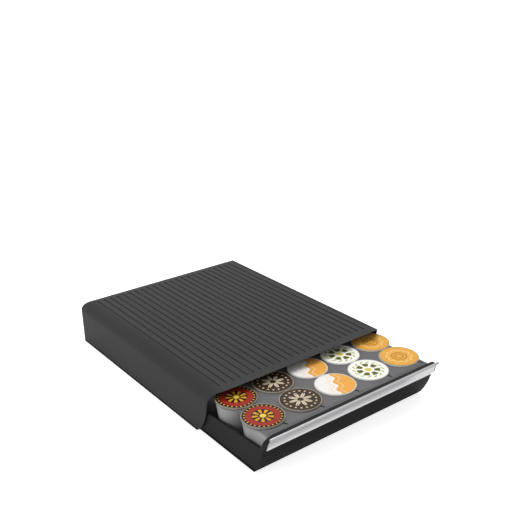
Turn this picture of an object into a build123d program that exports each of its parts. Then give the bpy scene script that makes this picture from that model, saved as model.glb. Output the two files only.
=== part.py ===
from build123d import *
import os
from math import radians, sin, cos

# Coffee pod drawer: a flat drawer in a moulded sleeve that stands on the counter.
# Millimetres. X is across, the drawer opens towards -Y, +Z is up. The origin is on
# the counter, under the middle of the part with its drawer pulled out to show two rows.

os.makedirs("parts", exist_ok=True)

# ---------------------------------------------------------------- pods
columns = 5
rows = 6
column_gap = 4.0           # between pod rims, side by side
row_gap = 0.5              # between pod rims, one behind the other
rows_filled = 2            # rows that hold a pod, counted from the front

pod_height = 44.0
pod_rim_radius = 25.5
pod_rim_thickness = 1.3
pod_top_radius = 22.9      # body just below the rim
pod_base_radius = 17.6
pod_wall = 0.9
pod_base_chamfer = 1.0
foil_thickness = 0.3
foil_inset = 0.4           # foil edge inside the rim's edge

# ---------------------------------------------------------------- sleeve
sleeve_wall = 1.8
shoulder_radius = 19.0     # round from the top into each side
back_shoulder_radius = 21.0
back_corner_radius = 3.0
side_lean = 0.8            # each side wall leans in by this much at its foot
runner_width = 14.0        # inward flange that the drawer slides on
runner_thickness = 1.3
back_runner_depth = 22.0
lid_side_gap = 2.5         # outermost pod rim to the sleeve's side
lid_headroom = 10.2        # pod lids to the underside of the top

# the side walls' front edges run in an S, measured back from the top's front edge
brow_setback = 13.3
brow_drop = 12.5           # below the top
waist_setback = 19.1
heel_setback = 33.4
heel_height = 7.2          # above the foot
toe_setback = 42.0

groove_pitch = 10.2
groove_count = 25
groove_width = 3.0
groove_depth = 0.8
groove_front_margin = 13.0
groove_back_margin = 4.0   # short of the round along the back

stiffener_pitch = 50.0
stiffener_count = 5
stiffener_thickness = 1.6
stiffener_depth = 3.5

stop_offset = 75.0         # stop lugs and catch fingers, left and right of the middle
stop_width = 16.0
stop_thickness = 4.0
stop_depth = 6.6
stop_setback = 50.0        # lug behind the top's front edge

bumper_width = 2.4         # ribs inside the back that the shut drawer meets
bumper_height = 16.0
shut_gap = 0.4

foot_radius = 5.5
foot_thickness = 1.0
foot_names = ["front", "middle", "back"]
foot_end_margin = 18.0

# ---------------------------------------------------------------- drawer
pull_at_rest = 98.6        # how far the drawer stands open in its rest position
nose_overhang = 1.0        # handle nose ahead of the sleeve when the drawer is shut
slide_gap = 0.3            # tray floor over the runners
side_gap = 1.0             # tray side to sleeve side
back_gap = 17.0            # tray back to sleeve back, drawer shut, clear of the round above
tray_floor = 2.4
tray_wall = 1.8
pod_floor_gap = 8.0        # pods hang by their rims, this far above the tray floor
tray_end_gap = 1.8         # last pod rim to the inside of the tray's back

first_rim_setback = 20.5   # first row's rims behind the handle nose
front_foot_setback = 29.6  # the front's outline, as distances behind the nose
front_belly_setback = 20.4
front_neck_setback = 12.8
front_top_setback = 5.6
front_wall = 2.0
front_belly_height = 15.0  # and as heights above the tray's underside
front_neck_height = 37.0
lip_above_lids = 2.2
front_corner_radius = 11.0
tray_foot_radius = 2.0

wall_front_height = 37.4   # side wall's top edge, above the tray's underside
wall_back_height = 21.5
wall_sweep_radius = 7.0    # where the side wall's edge sweeps up to the lip
wall_sweep_setback = 2.0   # the sweep's corner behind the front's neck

finger_gap = 0.6           # catch fingers to the underside of the top

# ---------------------------------------------------------------- handle strip
strip_inset = 3.0          # strip end inside the tray's side
bead_radius = 1.8          # round nose along the top
foot_bead_radius = 1.3     # small lip along the bottom
strip_thickness = 1.3
strip_fit = 0.1
strip_height = 18.6        # bottom of the foot bead below the lip's top
strip_foot_setback = 8.7   # middle of the foot bead behind the nose
strip_hollow = 1.3         # how far the strip's face is scooped

# ---------------------------------------------------------------- insert
plate_thickness = 1.8
rim_seat_gap = 0.2
pocket_play = 0.5          # pocket wall to pod body, all round
pocket_wall = 1.0
pocket_floor_gap = 1.0     # pocket floor below the pod's base
rest_width = 4.0           # ribs on the tray floor that carry the insert
rest_gap = 0.3
web_overlap = 15.0         # the plate reaches this far past the outer columns
shelf_gap = 1.3            # shelf to the back of the drawer's front
shelf_edge_radius = 6.5    # round along the shelf's front and ends
shelf_depth = 18.0
shelf_side_gap = 3.2
notch_width = 2.6          # slot beside each pocket of the front row
notch_gap = 0.8            # slot's inner end off the pocket's outside
notch_length = 5.8
notch_angle = -66.0

# ---------------------------------------------------------------- worked out
column_pitch = 2 * pod_rim_radius + column_gap
row_pitch = 2 * pod_rim_radius + row_gap
first_row_setback = first_rim_setback + pod_rim_radius
sleeve_foot = foot_thickness
runner_top = sleeve_foot + runner_thickness
tray_bottom = runner_top + slide_gap
floor_top = tray_bottom + tray_floor
pod_base = floor_top + pod_floor_gap
lid_top = pod_base + pod_height
plate_top = lid_top - foil_thickness - pod_rim_thickness - rim_seat_gap
sleeve_ceiling = lid_top + lid_headroom
sleeve_top = sleeve_ceiling + sleeve_wall
lip_top = lid_top + lip_above_lids

outer_column_x = (columns - 1) / 2 * column_pitch
sleeve_half = outer_column_x + pod_rim_radius + lid_side_gap + sleeve_wall
sleeve_foot_half = sleeve_half - side_lean
tray_foot_half = sleeve_foot_half - sleeve_wall - side_gap
tray_half = tray_foot_half + side_lean * 0.8
tray_inner_half = tray_foot_half - tray_wall

# along Y, first from the handle nose, then moved so that the whole part is centred
last_row_setback = first_row_setback + (rows - 1) * row_pitch
tray_back_setback = last_row_setback + pod_rim_radius + tray_end_gap + tray_wall
overall_depth = tray_back_setback + pull_at_rest + back_gap + sleeve_wall
nose_y = -overall_depth / 2
first_row_y = nose_y + first_row_setback
last_row_y = nose_y + last_row_setback
tray_back = nose_y + tray_back_setback
sleeve_front = nose_y + nose_overhang + pull_at_rest
sleeve_back = nose_y + overall_depth
sleeve_depth = sleeve_back - sleeve_front

belly_z = tray_bottom + front_belly_height
neck_z = tray_bottom + front_neck_height
strip_half = tray_half - strip_inset
strip_bead = Vector(nose_y + bead_radius, lip_top - bead_radius)
strip_foot = Vector(nose_y + strip_foot_setback, lip_top - strip_height + foot_bead_radius)
strip_normal = Vector(strip_bead.Y - strip_foot.Y, strip_foot.X - strip_bead.X).normalized()
strip_middle = (strip_bead + strip_foot) / 2 + strip_normal * strip_hollow

pocket_top_radius = pod_top_radius + pocket_play
notch_inner_radius = pocket_top_radius + pocket_wall + notch_gap
notch_outer_radius = notch_inner_radius + notch_length
pocket_bottom = pod_base - pocket_floor_gap
pocket_lean = (pod_top_radius - pod_base_radius) / (pod_height - pod_rim_thickness - foil_thickness)
pocket_bottom_radius = pocket_top_radius - pocket_lean * (plate_top - pocket_bottom)

pocket_places = [
    (outer_column_x * (2 * column / (columns - 1) - 1), first_row_y + row * row_pitch)
    for row in range(rows)
    for column in range(columns)
]


def upright(x, y):
    """A sketch plane through a pocket's middle: its x is the radius, its y is the height."""
    return Plane((x, y, 0), x_dir=(1, 0, 0), z_dir=(0, -1, 0))


def sleeve_block(inset, foot):
    """The sleeve's solid form, drawn so far inside its outer faces and down to foot."""
    lean = side_lean / (sleeve_top - sleeve_foot)
    foot_half = sleeve_foot_half - inset + lean * (foot - sleeve_foot)
    top_half = sleeve_half - inset
    top = sleeve_top - inset
    back = sleeve_back - inset
    with BuildPart() as block:
        with BuildSketch(Plane.XZ.offset(-back)):
            face = Polygon((-foot_half, foot), (foot_half, foot),
                           (top_half, top), (-top_half, top), align=None)
            fillet(face.vertices().group_by(Axis.Y)[-1], shoulder_radius - inset)
        extrude(amount=sleeve_depth)
        with BuildSketch(Plane.YZ):
            side = Polygon((back - sleeve_depth, foot), (back, foot),
                           (back, top), (back - sleeve_depth, top), align=None)
            fillet(side.vertices().group_by(Axis.Y)[-1].sort_by(Axis.X)[-1:],
                   back_shoulder_radius - inset)
        extrude(amount=sleeve_half, both=True, mode=Mode.INTERSECT)
        with BuildSketch(Plane.XY.offset(foot)):
            plan = Polygon((-top_half, back - sleeve_depth), (top_half, back - sleeve_depth),
                           (top_half, back), (-top_half, back), align=None)
            fillet(plan.vertices().group_by(Axis.Y)[-1], back_corner_radius)
        extrude(amount=top - foot, mode=Mode.INTERSECT)
    return block.part


# ---------------------------------------------------------------- sleeve body
with BuildPart() as sleeve:
    add(sleeve_block(0, sleeve_foot))

    # the bay that the drawer slides in, open at the front
    add(sleeve_block(sleeve_wall, runner_top), mode=Mode.SUBTRACT)

    # bumper ribs on the inside of the back
    with BuildSketch(Plane.XY.offset(runner_top)):
        with Locations((-stop_offset, sleeve_back - sleeve_wall),
                       (stop_offset, sleeve_back - sleeve_wall)):
            Rectangle(bumper_width, back_gap - shut_gap, align=(Align.CENTER, Align.MAX))
    extrude(amount=bumper_height)

    # open underside, which leaves a runner along each side and one across the back
    runner_edge = sleeve_foot_half - sleeve_wall - runner_width
    with BuildSketch(Plane.XY.offset(sleeve_foot)):
        with Locations((0, sleeve_front)):
            Rectangle(2 * runner_edge, sleeve_depth - sleeve_wall - back_runner_depth,
                      align=(Align.CENTER, Align.MIN))
    extrude(amount=runner_thickness, mode=Mode.SUBTRACT)

    # the S of the side walls' front edges, under the top's visor
    with BuildSketch(Plane.YZ):
        with BuildLine():
            s_edge = Spline((sleeve_front, sleeve_top),
                            (sleeve_front + brow_setback, sleeve_top - brow_drop),
                            (sleeve_front + waist_setback, (sleeve_top + sleeve_foot) / 2),
                            (sleeve_front + heel_setback, sleeve_foot + heel_height),
                            (sleeve_front + toe_setback, sleeve_foot))
            Polyline(s_edge @ 1,
                     (sleeve_front - 2 * sleeve_wall, sleeve_foot),
                     (sleeve_front - 2 * sleeve_wall, sleeve_top),
                     s_edge @ 0)
        make_face()
    extrude(amount=sleeve_half, both=True, mode=Mode.SUBTRACT)

    # round-ended grooves along the top, short of the visor and of the back
    groove_front = sleeve_front + groove_front_margin
    groove_back = sleeve_back - back_shoulder_radius - groove_back_margin
    with BuildSketch(Plane.XY.offset(sleeve_top)):
        with Locations((0, (groove_front + groove_back) / 2)):
            with GridLocations(groove_pitch, 1, groove_count, 1):
                SlotOverall(groove_back - groove_front, groove_width, rotation=90)
    extrude(amount=-groove_depth, mode=Mode.SUBTRACT)

    # stiffeners under the top, and the two lugs that stop the drawer
    stiffener_length = sleeve_depth - back_shoulder_radius - stop_setback
    with BuildSketch(Plane.XY.offset(sleeve_ceiling)):
        with Locations((0, sleeve_front + stop_setback + stiffener_length / 2)):
            with GridLocations(stiffener_pitch, stiffener_length, stiffener_count, 1):
                Rectangle(stiffener_thickness, stiffener_length)
    extrude(amount=-stiffener_depth)
    with BuildSketch(Plane.XY.offset(sleeve_ceiling)):
        with Locations((-stop_offset, sleeve_front + stop_setback),
                       (stop_offset, sleeve_front + stop_setback)):
            Rectangle(stop_width, stop_thickness, align=(Align.CENTER, Align.MIN))
    extrude(amount=-stop_depth)

sleeve.part.label = "sleeve"
export_step(sleeve.part, "parts/sleeve.step")

# ---------------------------------------------------------------- feet
foot_x = sleeve_foot_half - sleeve_wall - runner_width / 2
foot_front = sleeve_front + toe_setback + foot_end_margin
foot_back = sleeve_back - foot_end_margin
foot_step = (foot_back - foot_front) / (len(foot_names) - 1)
for side_name, side_x in (("left", -foot_x), ("right", foot_x)):
    for index, row_name in enumerate(foot_names):
        with BuildPart() as foot:
            with BuildSketch(Plane((side_x, foot_front + index * foot_step, 0))):
                Circle(foot_radius)
            extrude(amount=foot_thickness)
        name = f"foot_{row_name}_{side_name}"
        foot.part.label = name
        export_step(foot.part, f"parts/{name}.step")


# ---------------------------------------------------------------- drawer tray
def strip_section(growth):
    """The handle strip's section on the YZ plane: nose bead, scooped face and foot lip."""
    shift = strip_normal * (strip_thickness / 2 + growth)
    with BuildSketch(Plane.YZ) as section:
        with Locations(strip_bead):
            Circle(bead_radius + growth)
        with Locations(strip_foot):
            Circle(foot_bead_radius + growth)
        with BuildLine():
            near = ThreePointArc(strip_bead - shift, strip_middle - shift, strip_foot - shift)
            far = ThreePointArc(strip_bead + shift, strip_middle + shift, strip_foot + shift)
            Line(near @ 0, far @ 0)
            Line(near @ 1, far @ 1)
        make_face()
    return section.sketch


with BuildPart() as drawer_tray:
    # side view: belly of the front, lip, and the side wall's sloping edge
    with BuildSketch(Plane.YZ):
        with BuildLine():
            front = ThreePointArc((nose_y + front_foot_setback, tray_bottom),
                                  (nose_y + front_belly_setback, belly_z),
                                  (nose_y + front_neck_setback, neck_z))
            lip = Polyline(front @ 1,
                           (nose_y + front_top_setback, lip_top),
                           (nose_y + front_top_setback + front_wall, lip_top))
            wall_line = FilletPolyline(lip @ 1,
                                       (nose_y + front_neck_setback + front_wall + wall_sweep_setback,
                                        tray_bottom + wall_front_height),
                                       (tray_back, tray_bottom + wall_back_height),
                                       radius=wall_sweep_radius)
            Polyline(wall_line @ 1, (tray_back, tray_bottom), front @ 0)
        make_face()
    extrude(amount=tray_half, both=True)

    # the handle's core, which the strip is pressed on, and which shows at the strip's ends
    with BuildSketch(Plane.YZ):
        with BuildLine():
            scoop = ThreePointArc(strip_foot, strip_middle, strip_bead)
            Polyline(scoop @ 1,
                     (strip_bead.X, lip_top),
                     (nose_y + front_top_setback + front_wall, lip_top),
                     (nose_y + front_neck_setback + front_wall, neck_z),
                     (nose_y + front_neck_setback, neck_z),
                     scoop @ 0)
        make_face()
    extrude(amount=tray_half, both=True)

    # front view: sides that lean with the sleeve's, and round upper corners
    with BuildSketch(Plane.XZ.offset(-tray_back)):
        face = Polygon((-tray_foot_half, tray_bottom), (tray_foot_half, tray_bottom),
                       (tray_half, lip_top), (-tray_half, lip_top), align=None)
        fillet(face.vertices().group_by(Axis.Y)[-1], front_corner_radius)
        fillet(face.vertices().group_by(Axis.Y)[0], tray_foot_radius)
    extrude(amount=tray_back_setback, mode=Mode.INTERSECT)

    # seat of the handle strip
    extrude(strip_section(strip_fit), amount=strip_half, both=True, mode=Mode.SUBTRACT)

    # inside
    with BuildSketch(Plane.YZ):
        with BuildLine():
            inner = ThreePointArc((nose_y + front_foot_setback + front_wall, floor_top),
                                  (nose_y + front_belly_setback + front_wall, belly_z),
                                  (nose_y + front_neck_setback + front_wall, neck_z))
            Polyline(inner @ 1,
                     (nose_y + front_top_setback + front_wall, lip_top),
                     (nose_y + front_top_setback + front_wall, lip_top + 1),
                     (tray_back - tray_wall, lip_top + 1),
                     (tray_back - tray_wall, floor_top),
                     inner @ 0)
        make_face()
    extrude(amount=tray_inner_half, both=True, mode=Mode.SUBTRACT)

    # ribs under each row of pockets
    rest_height = pocket_bottom - pocket_wall - rest_gap - floor_top
    with BuildSketch(Plane.XY.offset(floor_top)):
        with Locations((0, (first_row_y + last_row_y) / 2)):
            with GridLocations(1, row_pitch, 1, rows):
                Rectangle(2 * outer_column_x, rest_width)
    extrude(amount=rest_height)

    # catch fingers on the back, which meet the sleeve's lugs at the end of the travel
    with BuildSketch(Plane.XY.offset(tray_bottom)):
        with Locations((-stop_offset, tray_back), (stop_offset, tray_back)):
            Rectangle(stop_width, tray_wall, align=(Align.CENTER, Align.MAX))
    extrude(amount=sleeve_ceiling - finger_gap - tray_bottom)

drawer_tray.part.label = "drawer_tray"
export_step(drawer_tray.part, "parts/drawer_tray.step")

# ---------------------------------------------------------------- handle strip
with BuildPart() as handle_strip:
    extrude(strip_section(0), amount=strip_half, both=True)

handle_strip.part.label = "handle_strip"
export_step(handle_strip.part, "parts/handle_strip.step")

# ---------------------------------------------------------------- pod insert
shelf_front = nose_y + front_top_setback + front_wall + shelf_gap
shelf_front += (lip_top - plate_top) * (front_neck_setback - front_top_setback) / (lip_top - neck_z)
shelf_lean = (front_neck_setback - front_top_setback) / (lip_top - neck_z)
shelf_half = tray_inner_half - shelf_side_gap
plate_back = tray_back - tray_wall - tray_end_gap / 2
with BuildPart() as pod_insert:
    # shelf in front of the first row, with its apron at the front and both ends
    with BuildSketch(Plane.YZ):
        Polygon((shelf_front, plate_top), (first_row_y, plate_top),
                (first_row_y, plate_top - shelf_depth),
                (shelf_front + shelf_lean * shelf_depth, plate_top - shelf_depth), align=None)
    extrude(amount=shelf_half, both=True)
    top_edges = pod_insert.faces().sort_by(Axis.Z)[-1].edges()
    fillet(top_edges.sort_by(Axis.Y)[:-1], shelf_edge_radius)
    shelf_openings = [pod_insert.faces().sort_by(Axis.Z)[0], pod_insert.faces().sort_by(Axis.Y)[-1]]
    offset(amount=-plate_thickness, openings=shelf_openings)

    # plate, scalloped along its sides by the outer pockets
    with BuildSketch(Plane.XY.offset(plate_top)):
        with Locations((0, first_row_y)):
            Rectangle(2 * (outer_column_x + web_overlap), plate_back - first_row_y,
                      align=(Align.CENTER, Align.MIN))
        with Locations(*pocket_places):
            Circle(pocket_top_radius + pocket_wall)
    extrude(amount=-plate_thickness)

    # pockets: tapered cups, open at the top
    for x, y in pocket_places:
        with BuildSketch(upright(x, y)):
            Polygon((0, pocket_bottom - pocket_wall),
                    (pocket_bottom_radius + pocket_wall, pocket_bottom - pocket_wall),
                    (pocket_top_radius + pocket_wall, plate_top),
                    (0, plate_top), align=None)
        revolve(axis=Axis((x, y, 0), (0, 0, 1)))
    for x, y in pocket_places:
        with BuildSketch(upright(x, y)):
            Polygon((0, pocket_bottom), (pocket_bottom_radius, pocket_bottom),
                    (pocket_top_radius, plate_top), (0, plate_top), align=None)
        revolve(axis=Axis((x, y, 0), (0, 0, 1)), mode=Mode.SUBTRACT)

    # a slot through the shelf beside each pocket of the front row
    slot_radius = (notch_inner_radius + notch_outer_radius) / 2
    slot_x = slot_radius * cos(radians(notch_angle))
    slot_y = slot_radius * sin(radians(notch_angle))
    with BuildSketch(Plane.XY.offset(plate_top)):
        with Locations(*[(x + slot_x, y + slot_y) for x, y in pocket_places[:columns]]):
            Rectangle(notch_outer_radius - notch_inner_radius, notch_width, rotation=notch_angle)
    extrude(amount=-plate_thickness, mode=Mode.SUBTRACT)

pod_insert.part.label = "pod_insert"
export_step(pod_insert.part, "parts/pod_insert.step")


# ---------------------------------------------------------------- pods
def pod_cup(x, y, name):
    """A moulded cup with a flat rim, standing in its pocket."""
    rim_top = lid_top - foil_thickness
    rim_under = rim_top - pod_rim_thickness
    with BuildPart() as cup:
        with BuildSketch(upright(x, y)):
            Polygon((0, pod_base),
                    (pod_base_radius - pod_base_chamfer, pod_base),
                    (pod_base_radius, pod_base + pod_base_chamfer),
                    (pod_top_radius, rim_under),
                    (pod_rim_radius, rim_under),
                    (pod_rim_radius, rim_top),
                    (pod_top_radius - pod_wall, rim_top),
                    (pod_base_radius - pod_wall, pod_base + pod_wall),
                    (0, pod_base + pod_wall), align=None)
        revolve(axis=Axis((x, y, 0), (0, 0, 1)))
    cup.part.label = name
    export_step(cup.part, f"parts/{name}.step")


def pod_lid(x, y, name):
    """The foil lid, sealed on the cup's rim."""
    with BuildPart() as lid:
        with BuildSketch(Plane((x, y, lid_top - foil_thickness))):
            Circle(pod_rim_radius - foil_inset)
        extrude(amount=foil_thickness)
    lid.part.label = name
    export_step(lid.part, f"parts/{name}.step")


row_names = ["front", "second", "third", "fourth", "fifth", "back"]
for index, (x, y) in enumerate(pocket_places[:rows_filled * columns]):
    place = f"{row_names[index // columns]}_{index % columns + 1}"
    pod_cup(x, y, f"pod_cup_{place}")
    pod_lid(x, y, f"pod_lid_{place}")
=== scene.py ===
# %% [markdown]
# # A coffee pod drawer
# A flat drawer for coffee pods: a charcoal sleeve, a black tray with a bright handle
# strip, and a grey insert whose pockets hold the pods. The CAD model already has every
# rigid piece at its real size, so this lesson is mostly about finishes, the printed
# foil lids, the camera and the light.

# %% Load the CAD frame
import math

import bpy
from mathutils import Matrix, Vector


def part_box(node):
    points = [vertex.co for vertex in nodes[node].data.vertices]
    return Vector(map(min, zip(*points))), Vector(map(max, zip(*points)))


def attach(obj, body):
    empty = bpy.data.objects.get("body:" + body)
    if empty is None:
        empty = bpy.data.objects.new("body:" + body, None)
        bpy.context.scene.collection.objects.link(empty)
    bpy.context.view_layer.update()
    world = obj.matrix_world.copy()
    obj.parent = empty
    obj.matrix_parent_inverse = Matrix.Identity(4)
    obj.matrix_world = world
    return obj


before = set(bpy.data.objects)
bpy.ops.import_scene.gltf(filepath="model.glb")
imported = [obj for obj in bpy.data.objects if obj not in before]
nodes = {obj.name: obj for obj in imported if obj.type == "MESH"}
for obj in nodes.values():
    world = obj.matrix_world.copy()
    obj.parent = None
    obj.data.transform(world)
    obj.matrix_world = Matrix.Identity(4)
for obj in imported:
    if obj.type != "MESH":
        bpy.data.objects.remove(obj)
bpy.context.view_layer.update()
nose_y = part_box("handle_strip")[0].y
lid_names = sorted(name for name in nodes if name.startswith("pod_lid_"))
cup_names = sorted(name for name in nodes if name.startswith("pod_cup_"))

# %% [markdown]
# ## Camera
# The camera was fitted to the ten round lids and to the long edges of the sleeve. It
# looks down by 21 degrees from the left of the drawer's front. A camera can be aimed with
# a constraint, but a matrix made from its own three axes also carries the slight roll.

# %% Place the camera
azimuth = math.radians(-37.23)
elevation = math.radians(21.44)
roll = -0.0185
front_row_y = nose_y + 0.046  # the front row of pods stands 46 mm behind the strip's nose
target = Vector((0.26307, front_row_y + 0.48741, 0.001))
distance = 1.46693
sensor_width = 36  # mm
picture_width = 524  # pixels
focal_pixels = 780.45

back = Vector((math.sin(azimuth) * math.cos(elevation),
               -math.cos(azimuth) * math.cos(elevation),
               math.sin(elevation)))
level_right = (-back).cross(Vector((0, 0, 1))).normalized()
level_up = level_right.cross(-back)
right = level_right * math.cos(roll) + level_up * math.sin(roll)
up = level_up * math.cos(roll) - level_right * math.sin(roll)

camera_data = bpy.data.cameras.new("camera")
camera_data.sensor_width = sensor_width
camera_data.lens = sensor_width * focal_pixels / picture_width
camera = bpy.data.objects.new("camera", camera_data)
axes = Matrix((right, up, back)).transposed().to_4x4()
camera.matrix_world = Matrix.Translation(target + back * distance) @ axes
bpy.context.scene.collection.objects.link(camera)
bpy.context.scene.camera = camera
bpy.context.scene.view_settings.view_transform = "Standard"
print("camera at", [round(v, 4) for v in camera.matrix_world.translation])

# %% [markdown]
# ## Shader maths as Python
# Node trees for patterns grow long. This small class wraps a socket, so that an
# expression such as `1 - mask * 0.5` adds its own Math nodes.


# %% Wrap sockets and trees
class Wire:
    """A number that travels through a node tree."""

    def __init__(self, tree, socket):
        self.tree = tree
        self.socket = socket

    def _math(self, operation, *values):
        return self.tree.node("ShaderNodeMath", {"operation": operation}, *values)[0]

    def __add__(self, other):
        return self._math("ADD", self, other)

    def __radd__(self, other):
        return self._math("ADD", other, self)

    def __sub__(self, other):
        return self._math("SUBTRACT", self, other)

    def __rsub__(self, other):
        return self._math("SUBTRACT", other, self)

    def __mul__(self, other):
        return self._math("MULTIPLY", self, other)

    def root(self):
        return self._math("SQRT", self)

    def size(self):
        return self._math("ABSOLUTE", self)

    def sine(self):
        return self._math("SINE", self)

    def cosine(self):
        return self._math("COSINE", self)

    def smaller(self, other):
        return self._math("MINIMUM", self, other)

    def step(self, low, high):
        """0 below low, 1 above high, and smooth between them."""
        settings = {"interpolation_type": "SMOOTHSTEP"}
        return self.tree.node("ShaderNodeMapRange", settings, self, low, high, 0.0, 1.0)[0]

    def inside(self, low, high, soft):
        """1 between low and high, with soft edges."""
        return self.step(low - soft, low + soft) * (1 - self.step(high - soft, high + soft))


class Finish:
    """A material under construction, with one method for every kind of node."""

    def __init__(self, name):
        self.material = bpy.data.materials.new(name)
        self.material.use_nodes = True
        self.nodes = self.material.node_tree.nodes
        self.links = self.material.node_tree.links
        self.shader = self.nodes["Principled BSDF"]

    def put(self, socket, value):
        if isinstance(value, Wire):
            self.links.new(value.socket, socket)
        elif value is not None:
            socket.default_value = value

    def node(self, kind, settings=None, *values, **named):
        """Adds a node. Its sockets are filled in order by values, or by name."""
        made = self.nodes.new(kind)
        for key, value in (settings or {}).items():
            setattr(made, key, value)
        for socket, value in zip(made.inputs, values):
            self.put(socket, value)
        for key, value in named.items():
            self.put(made.inputs[key.replace("_", " ")], value)
        return [Wire(self, socket) for socket in made.outputs]

    def place(self, centre=(0, 0, 0), turn=0.0):
        """Object coordinates measured from centre, turned about Z."""
        where = self.node("ShaderNodeTexCoord")[3]
        shifted = self.node("ShaderNodeVectorMath", {"operation": "SUBTRACT"}, where, centre)[0]
        return self.node("ShaderNodeMapping", None, shifted, (0, 0, 0), (0, 0, turn))[0]

    def parts(self, vector):
        return self.node("ShaderNodeSeparateXYZ", None, vector)

    def noise(self, vector, scale, detail=2.0):
        return self.node("ShaderNodeTexNoise", None,
                         Vector=vector, Scale=scale, Detail=detail)[0]

    def blend(self, factor, first, second):
        """first where factor is 0, second where it is 1."""
        made = self.nodes.new("ShaderNodeMix")
        made.data_type = "RGBA"
        self.put(made.inputs[0], factor)
        self.put(made.inputs[6], first)
        self.put(made.inputs[7], second)
        return Wire(self, made.outputs[2])

    def bump(self, height, strength, distance):
        """distance is in metres, the depth of a height of 1."""
        self.put(self.shader.inputs["Normal"],
                 self.node("ShaderNodeBump", None, Strength=strength, Distance=distance,
                           Height=height)[0])

    def set(self, **values):
        """Fills the shader's sockets by name."""
        for key, value in values.items():
            self.put(self.shader.inputs[key.replace("_", " ")], value)


def rgb(red, green, blue):
    return (red, green, blue, 1.0)


to_mm = 1000


def wear(names, material):
    """Gives the CAD nodes this finish."""
    for name in names:
        data = nodes[name].data
        data.materials.clear()
        data.materials.append(material)


# %% [markdown]
# ## Moulded plastics
# The sleeve is charcoal with a fine grain that breaks up its shine. The tray is a smoother
# black. Both get a little colour drift, so that large faces don't look painted. Along the
# counter, a thin dark line of painted shade lies on the lower edge of both.


# %% Charcoal sleeve and black tray
painted_shade_blur = 0.0008  # half the height over which the painted shade at a lower edge fades
painted_foot_shade = rgb(0.002, 0.002, 0.002)


def moulded(name, colour, lighter, roughness, level, grain, depth, painted_shade_height):
    """level is the specular level, and grain and depth are the speckle's scale and height.
    The last argument is the height, above the counter, below which the lower edge is painted
    dark as shade."""
    finish = Finish(name)
    where = finish.place()
    drift = finish.noise(where, 9.0, 3.0)
    speckle = finish.noise(where, grain)
    plain = finish.blend(drift.step(0.3, 0.7) * 0.6 + speckle * 0.3, colour, lighter)
    height = finish.parts(where)[2]
    # Below the given height the lower edge is painted nearly black, as painted shade at the
    # foot.
    painted_foot_shade_mask = 1 - height.step(painted_shade_height - painted_shade_blur, painted_shade_height + painted_shade_blur)
    uneven = roughness + (speckle - 0.5) * 0.12 + (drift - 0.5) * 0.1
    finish.set(Base_Color=finish.blend(painted_foot_shade_mask * 0.85, plain, painted_foot_shade),
               Roughness=uneven + painted_foot_shade_mask * 0.3)
    finish.shader.inputs["Specular IOR Level"].default_value = level
    finish.bump(speckle, 0.35, depth)
    return finish.material


sleeve_charcoal = moulded(
    "sleeve_charcoal", rgb(0.024, 0.024, 0.025), rgb(0.033, 0.033, 0.034),
    roughness=0.50, level=0.14, grain=1400, depth=0.00010, painted_shade_height=0.0042)
tray_black = moulded(
    "tray_black", rgb(0.012, 0.012, 0.013), rgb(0.018, 0.018, 0.019),
    roughness=0.46, level=0.07, grain=1100, depth=0.00006, painted_shade_height=0.0068)
foot_rubber = moulded(  # a height below the counter leaves the pads without painted shade at their edge
    "foot_rubber", rgb(0.02, 0.02, 0.02), rgb(0.03, 0.03, 0.03),
    roughness=0.8, level=0.2, grain=900, depth=0.0001, painted_shade_height=-0.01)
wear(["sleeve"], sleeve_charcoal)
wear(["drawer_tray"], tray_black)
wear([name for name in nodes if name.startswith("foot_")], foot_rubber)

# %% [markdown]
# ## Grey insert
# The insert is one grey plastic. Its flat top is painted darker, as painted shade, and is a
# little rougher, while the drawn walls of its pockets are painted paler, as painted light
# from the left. The height above the counter tells the two apart.

# %% Insert
plate_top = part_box("pod_insert")[1].z
wall_ends, plate_starts = plate_top - 0.0035, plate_top - 0.0004
finish = Finish("insert_grey")
where = finish.place()
height = finish.parts(where)[2]
grain = finish.noise(where, 1300)
drift = finish.noise(where, 14, 3.0)
# The pocket walls are painted paler as painted light, and the flat top darker as painted shade.
painted_shade_top_mask = height.step(wall_ends, plate_starts)
lit_wall_colour = finish.blend(drift, rgb(0.27, 0.27, 0.275), rgb(0.33, 0.33, 0.335))
shaded_plate_colour = finish.blend(drift, rgb(0.105, 0.105, 0.11), rgb(0.125, 0.125, 0.13))
finish.set(Base_Color=finish.blend(painted_shade_top_mask, lit_wall_colour, shaded_plate_colour),
           Roughness=0.45 + painted_shade_top_mask * 0.1 + (grain - 0.5) * 0.1)
finish.shader.inputs["Specular IOR Level"].default_value = 0.35
finish.bump(grain, 0.3, 0.00008)
insert_grey = finish.material
wear(["pod_insert"], insert_grey)

# %% [markdown]
# ## Handle strip
# The strip is drawn bright metal. Brush lines run along its length, so the noise is
# stretched two hundred times along X. The rolled top is painted darker, as a painted dark
# reflection, and a crease below it is bumped in and painted dark, as painted shade.

# %% Bright metal
strip_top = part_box("handle_strip")[1].z
finish = Finish("strip_metal")
where = finish.place()
no_shift, no_turn, stretch = (0, 0, 0), (0, 0, 0), (2, 400, 400)
lengthwise = finish.node("ShaderNodeMapping", None, where, no_shift, no_turn, stretch)[0]
brush = finish.noise(lengthwise, 6.0, 3.0)
below = (strip_top - finish.parts(where)[2]) * to_mm  # millimetres below the strip's top
# The crease is bumped in, and its colour is also painted dark as painted shade.
crease_and_painted_shade = below.inside(4.6, 6.4, 0.6)
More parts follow.
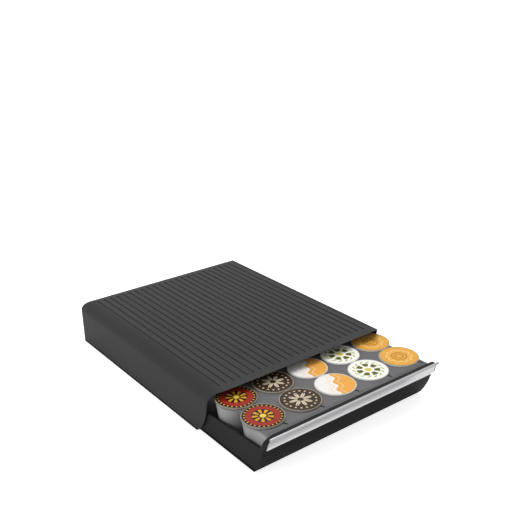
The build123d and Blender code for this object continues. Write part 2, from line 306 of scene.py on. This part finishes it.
# The rolled top is painted darker, as a painted dark reflection.
roll = 1 - below.step(2.6, 5.0)
metal = finish.blend(brush, rgb(0.70, 0.70, 0.71), rgb(0.82, 0.82, 0.83))
metal = finish.blend(roll * 0.7, metal, rgb(0.34, 0.34, 0.35))
metal = finish.blend(crease_and_painted_shade * 0.8, metal, rgb(0.16, 0.16, 0.165))
finish.set(Base_Color=metal, Roughness=0.22 + brush * 0.12 + crease_and_painted_shade * 0.15)
finish.shader.inputs["Metallic"].default_value = 1.0
finish.bump(brush * 0.2 - crease_and_painted_shade, 0.6, 0.0004)
strip_metal = finish.material
wear(["handle_strip"], strip_metal)

# %% [markdown]
# ## Pods
# A pod is a plastic cup with a printed foil lid. The prints here are plain patterns made
# from each lid's own centre: rays, petals, waves, a garland and rings. Lengths in them are
# in millimetres.


# %% Cup plastics
def cup_plastic(name, colour, lighter):
    finish = Finish(name)
    cloud = finish.noise(finish.place(), 60)
    finish.set(Base_Color=finish.blend(cloud, colour, lighter),
               Roughness=0.35 + cloud * 0.1)
    return finish.material


cup_dark = cup_plastic("pod_plastic_dark", rgb(0.20, 0.19, 0.17), rgb(0.26, 0.25, 0.22))
cup_white = cup_plastic("pod_plastic_white", rgb(0.70, 0.69, 0.66), rgb(0.78, 0.77, 0.74))
dark_columns = "12"
wear([name for name in cup_names if name[-1] in dark_columns], cup_dark)
wear([name for name in cup_names if name[-1] not in dark_columns], cup_white)


# %% Lid prints
def lid_centre(name):
    low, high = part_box(name)
    return ((low.x + high.x) / 2, (low.y + high.y) / 2, high.z)


def lid_start(name, centre, turn):
    """x, y and radius from the lid's middle, and the angle round it. turn is in radians."""
    finish = Finish(name)
    x, y, _ = finish.parts(finish.place(centre, turn))
    x = x * to_mm
    y = y * to_mm
    radius = (x * x + y * y).root()
    angle = finish.node("ShaderNodeMath", {"operation": "ARCTAN2"}, y, x)[0]
    return finish, x, y, radius, angle


def wedges(angle, count, low, high):
    """count soft wedges round the lid: narrower with a higher low and high."""
    return ((angle * count).sine() * 0.5 + 0.5).step(low, high)


def disc(radius, low, high):
    """1 in the middle, fading out from low to high."""
    return 1 - radius.step(low, high)


def lid_end(finish, colour, radius, edge):
    """Adds the sealed edge, a pressed ring inside it, and the foil's ripple and gloss."""
    sealed = radius.step(24.0, 24.4)
    ripple = finish.noise(finish.place(), 260)
    ring = radius.inside(22.4, 22.9, 0.3)
    finish.set(Base_Color=finish.blend(sealed, colour, edge),
               Roughness=0.34 + ripple * 0.12)
    finish.shader.inputs["Specular IOR Level"].default_value = 0.15
    finish.bump(ripple * 0.4 - ring, 0.5, 0.0003)
    return finish.material


def ember(name, centre):
    finish, _, _, radius, angle = lid_start(name, centre, 0.3)
    red = radius.inside(13.5, 20.0, 0.5)
    rays = wedges(angle, 9, 0.35, 0.6) * radius.inside(5.5, 12.5, 0.5)
    sparks = wedges(angle, 26, 0.7, 0.85) * radius.inside(20.5, 22.6, 0.3)
    colour = finish.blend(red, rgb(0.010, 0.006, 0.005), rgb(0.33, 0.026, 0.014))
    colour = finish.blend(rays, colour, rgb(0.70, 0.33, 0.025))
    colour = finish.blend(disc(radius, 3.4, 4.2), colour, rgb(0.85, 0.58, 0.08))
    colour = finish.blend(sparks, colour, rgb(0.75, 0.42, 0.08))
    return lid_end(finish, colour, radius, rgb(0.30, 0.26, 0.20))


def leaves(name, centre):
    finish, _, _, radius, angle = lid_start(name, centre, 0.2)
    ground = finish.noise(finish.place(), 420)
    petal = (angle * 4).cosine().size()
    leaf = (petal * 15 - radius).step(-0.5, 0.7) * radius.step(3.4, 4.2)
    vein = 1 - (angle * 4).sine().size().step(0.08, 0.2)
    dots = wedges(angle, 18, 0.6, 0.8) * radius.inside(17.5, 19.8, 0.4)
    colour = finish.blend(ground.step(0.45, 0.65),
                          rgb(0.026, 0.015, 0.008), rgb(0.075, 0.046, 0.026))
    colour = finish.blend(leaf * (1 - vein), colour, rgb(0.72, 0.62, 0.46))
    colour = finish.blend(dots, colour, rgb(0.62, 0.50, 0.34))
    return lid_end(finish, colour, radius, rgb(0.50, 0.46, 0.38))


def tide(name, centre):
    finish, x, y, radius, _ = lid_start(name, centre, 0.5)
    wave = x + (y * 0.35).sine() * 2.4
    orange = wave.step(-0.6, 0.6)
    stripe = (wave.inside(-6.2, -5.0, 0.3) + wave.inside(-9.4, -8.8, 0.3)).smaller(1.0)
    pale = wave.inside(5.2, 6.6, 0.3)
    colour = finish.blend(orange, rgb(0.86, 0.84, 0.82), rgb(0.80, 0.38, 0.07))
    colour = finish.blend(stripe * 0.7, colour, rgb(0.88, 0.52, 0.26))
    colour = finish.blend(pale * 0.8, colour, rgb(0.88, 0.66, 0.40))
    return lid_end(finish, colour, radius, rgb(0.82, 0.80, 0.78))


def garland(name, centre):
    finish, _, _, radius, angle = lid_start(name, centre, 0.0)
    beads = wedges(angle, 7, 0.15, 0.35) * radius.inside(7.6, 15.0, 0.5)
    twigs = ((angle * 14 + radius * 0.8).sine() * 0.5 + 0.5).step(0.55, 0.8)
    twigs = twigs * radius.inside(16.2, 20.0, 0.4)
    yolk = disc(radius, 3.8, 5.0)
    colour = finish.blend(beads, rgb(0.92, 0.92, 0.86), rgb(0.12, 0.12, 0.012))
    colour = finish.blend(twigs, colour, rgb(0.42, 0.44, 0.08))
    colour = finish.blend(yolk, colour, rgb(0.68, 0.58, 0.08))
    return lid_end(finish, colour, radius, rgb(0.84, 0.84, 0.80))


def amber(name, centre):
    finish, _, _, radius, angle = lid_start(name, centre, 0.0)
    cloud = finish.noise(finish.place(), 110)
    rings = (radius * 1.5).sine().step(0.35, 0.6) * radius.inside(3.0, 12.5, 0.5)
    scallop = (radius - 15.5 - (angle * 10).cosine() * 1.4).size()
    border = 1 - scallop.step(0.5, 1.1)
    colour = finish.blend(cloud, rgb(0.72, 0.34, 0.035), rgb(0.80, 0.42, 0.07))
    colour = finish.blend(rings * 0.8, colour, rgb(0.34, 0.13, 0.02))
    colour = finish.blend(border * 0.8, colour, rgb(0.88, 0.66, 0.32))
    return lid_end(finish, colour, radius, rgb(0.40, 0.30, 0.16))


# %% Print the ten lids
# A node's name ends with its column, counted from the left.
prints = {"1": ember, "2": leaves, "3": tide, "4": garland, "5": amber}
for name in lid_names:
    wear([name], prints[name[-1]](name.replace("pod_lid", "foil"), lid_centre(name)))
print("lids", len(lid_names))

# %% [markdown]
# ## Sealed rims
# The foil is pressed onto the cup's rim, which leaves a low bead with fine ripples round
# every lid. Ten equal rings follow one rule, so Geometry Nodes make them: one circle is
# rippled and swept once, and a copy is put on a point at the middle of each lid.

# %% Tree for a rippled ring
rim_tree = bpy.data.node_groups.new("sealed_rims", "GeometryNodeTree")
rim_tree.interface.new_socket("Geometry", in_out="INPUT", socket_type="NodeSocketGeometry")
for title, kind in (("Ring Radius", "NodeSocketFloat"), ("Bead Radius", "NodeSocketFloat"),
                    ("Ripple Height", "NodeSocketFloat"), ("Ripples", "NodeSocketInt"),
                    ("Foil", "NodeSocketMaterial")):
    rim_tree.interface.new_socket(title, in_out="INPUT", socket_type=kind)
rim_tree.interface.new_socket("Geometry", in_out="OUTPUT", socket_type="NodeSocketGeometry")
given = rim_tree.nodes.new("NodeGroupInput").outputs


def rim_node(kind, **sockets):
    """Adds a node, and fills its sockets with links or values."""
    made = rim_tree.nodes.new(kind)
    for key, value in sockets.items():
        rim_put(made.inputs[key.replace("_", " ")], value)
    return made.outputs


def rim_math(operation, *values):
    """Adds a Math node, whose sockets all have one name and are filled in order."""
    made = rim_tree.nodes.new("ShaderNodeMath")
    made.operation = operation
    for socket, value in zip(made.inputs, values):
        rim_put(socket, value)
    return made.outputs[0]


def rim_put(socket, value):
    if isinstance(value, bpy.types.NodeSocket):
        rim_tree.links.new(value, socket)
    else:
        socket.default_value = value


steps_per_ripple = 4  # rest, crest, rest, trough
section_sides = 8
steps = rim_math("MULTIPLY", given["Ripples"], steps_per_ripple)
circle = rim_node("GeometryNodeCurvePrimitiveCircle",
                  Resolution=steps, Radius=given["Ring Radius"])[0]
index = rim_node("GeometryNodeInputIndex")[0]
swing = rim_math("SINE", rim_math("MULTIPLY", index, math.tau / steps_per_ripple))
crest = rim_math("MULTIPLY", swing, given["Ripple Height"])
rise = rim_node("ShaderNodeCombineXYZ", Z=crest)[0]
rippled = rim_node("GeometryNodeSetPosition", Geometry=circle, Offset=rise)[0]
section = rim_node("GeometryNodeCurvePrimitiveCircle",
                   Resolution=section_sides, Radius=given["Bead Radius"])[0]
bead = rim_node("GeometryNodeCurveToMesh", Curve=rippled, Profile_Curve=section)[0]
copies = rim_node("GeometryNodeInstanceOnPoints", Points=given["Geometry"], Instance=bead)[0]
real = rim_node("GeometryNodeRealizeInstances", Geometry=copies)[0]
smooth = rim_node("GeometryNodeSetShadeSmooth", Geometry=real)[0]
coated = rim_node("GeometryNodeSetMaterial", Geometry=smooth, Material=given["Foil"])[0]
rim_tree.links.new(coated, rim_tree.nodes.new("NodeGroupOutput").inputs[0])
print("rim tree nodes", len(rim_tree.nodes))

# %% Foil of the rims
# The rims of the pale lids, in the third and fourth columns, are silver. Others are brown.
finish = Finish("foil_rim")
where = finish.place()
across = finish.parts(where)[0]
glint = finish.noise(where, 700)
pale = across.inside(-0.025, 0.082, 0.004)
finish.set(Base_Color=finish.blend(pale, rgb(0.34, 0.27, 0.18), rgb(0.66, 0.65, 0.62)),
           Roughness=0.30 + glint * 0.15)
finish.bump(glint, 0.3, 0.00006)
foil_rim = finish.material

# %% Put a ring on every lid
lid_points = bpy.data.meshes.new("lid_points")
lid_points.from_pydata([lid_centre(name) for name in lid_names], [], [])
rims = bpy.data.objects.new("sealed_rims", lid_points)
bpy.context.scene.collection.objects.link(rims)
sweep = rims.modifiers.new("rims", "NODES")
sweep.node_group = rim_tree
rim_sizes = {"Ring Radius": 0.02475, "Bead Radius": 0.00034, "Ripple Height": 0.00010,
             "Ripples": 72, "Foil": foil_rim}
for item in rim_tree.interface.items_tree:
    if item.name in rim_sizes:
        sweep[item.identifier] = rim_sizes[item.name]
rims.update_tag()
made_rims = rims.evaluated_get(bpy.context.evaluated_depsgraph_get())
rim_mesh = bpy.data.meshes.new_from_object(made_rims)
rims.modifiers.clear()
rims.data = rim_mesh
rim_volume = sum(face.center.dot(face.normal) * face.area for face in rim_mesh.polygons) / 3
print("rims: faces", len(rim_mesh.polygons), "volume mm3", round(rim_volume * 1e9, 1))
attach(rims, "drawer")

# %% [markdown]
# ## Floor, room and light
# A white studio: a broad soft lamp stands on the left, which makes the left faces brighter
# than the front, and the room fills the shadows. The floor is lifted towards white for the
# camera, and a little for reflections, so that it keeps the drawer's shadow and adds
# hardly any light to it.

# %% Floor
lift = 0.74
lift_in_reflections = 0.15  # as a share of the lift
finish = Finish("floor_white")
path = finish.node("ShaderNodeLightPath")
camera_ray, glossy_ray = path[0], path[3]
seen = camera_ray + glossy_ray * lift_in_reflections
finish.set(Base_Color=rgb(0.80, 0.80, 0.80), Roughness=0.9,
           Emission_Color=finish.blend(seen, rgb(0, 0, 0), rgb(lift, lift, lift)))
finish.shader.inputs["Specular IOR Level"].default_value = 0.0
finish.shader.inputs["Emission Strength"].default_value = 1.0
floor_mesh = bpy.data.meshes.new("floor")
reach = 30.0
corners = [(-reach, -reach, 0), (reach, -reach, 0), (reach, reach, 0), (-reach, reach, 0)]
floor_mesh.from_pydata(corners, [], [(0, 1, 2, 3)])
floor_mesh.materials.append(finish.material)
floor = bpy.data.objects.new("floor", floor_mesh)
floor.location.z = -0.0002  # just clear of the pads
bpy.context.scene.collection.objects.link(floor)

# %% World
fill_strength = 0.45
seen_strength = 1.0  # white, where the camera or a reflection sees the room
world = bpy.data.worlds.new("studio")
bpy.context.scene.world = world
world.use_nodes = True
tree = world.node_tree
background = tree.nodes["Background"]
light_path = tree.nodes.new("ShaderNodeLightPath")
either = tree.nodes.new("ShaderNodeMath")
either.operation = "MAXIMUM"
tree.links.new(light_path.outputs["Is Camera Ray"], either.inputs[0])
tree.links.new(light_path.outputs["Is Glossy Ray"], either.inputs[1])
strength = tree.nodes.new("ShaderNodeMapRange")
strength.inputs["To Min"].default_value = fill_strength
strength.inputs["To Max"].default_value = seen_strength
tree.links.new(either.outputs[0], strength.inputs["Value"])
tree.links.new(strength.outputs[0], background.inputs["Strength"])
background.inputs["Color"].default_value = (1, 1, 1, 1)


# %% Lamps
def softbox(name, place, aim, size, power):
    """A rectangular lamp at place that faces aim. power is in watts."""
    data = bpy.data.lights.new(name, "AREA")
    data.shape = "RECTANGLE"
    data.size, data.size_y = size
    data.energy = power
    lamp = bpy.data.objects.new(name, data)
    facing = (Vector(place) - Vector(aim)).to_track_quat("Z", "Y").to_matrix().to_4x4()
    lamp.matrix_world = Matrix.Translation(place) @ facing
    bpy.context.scene.collection.objects.link(lamp)


middle = (0, 0, 0)
softbox("left_softbox", place=(-1.9, -0.3, 0.9), aim=middle, size=(1.6, 1.0), power=15)
softbox("top_softbox", place=(0.3, 0.2, 2.2), aim=middle, size=(1.4, 1.4), power=29)
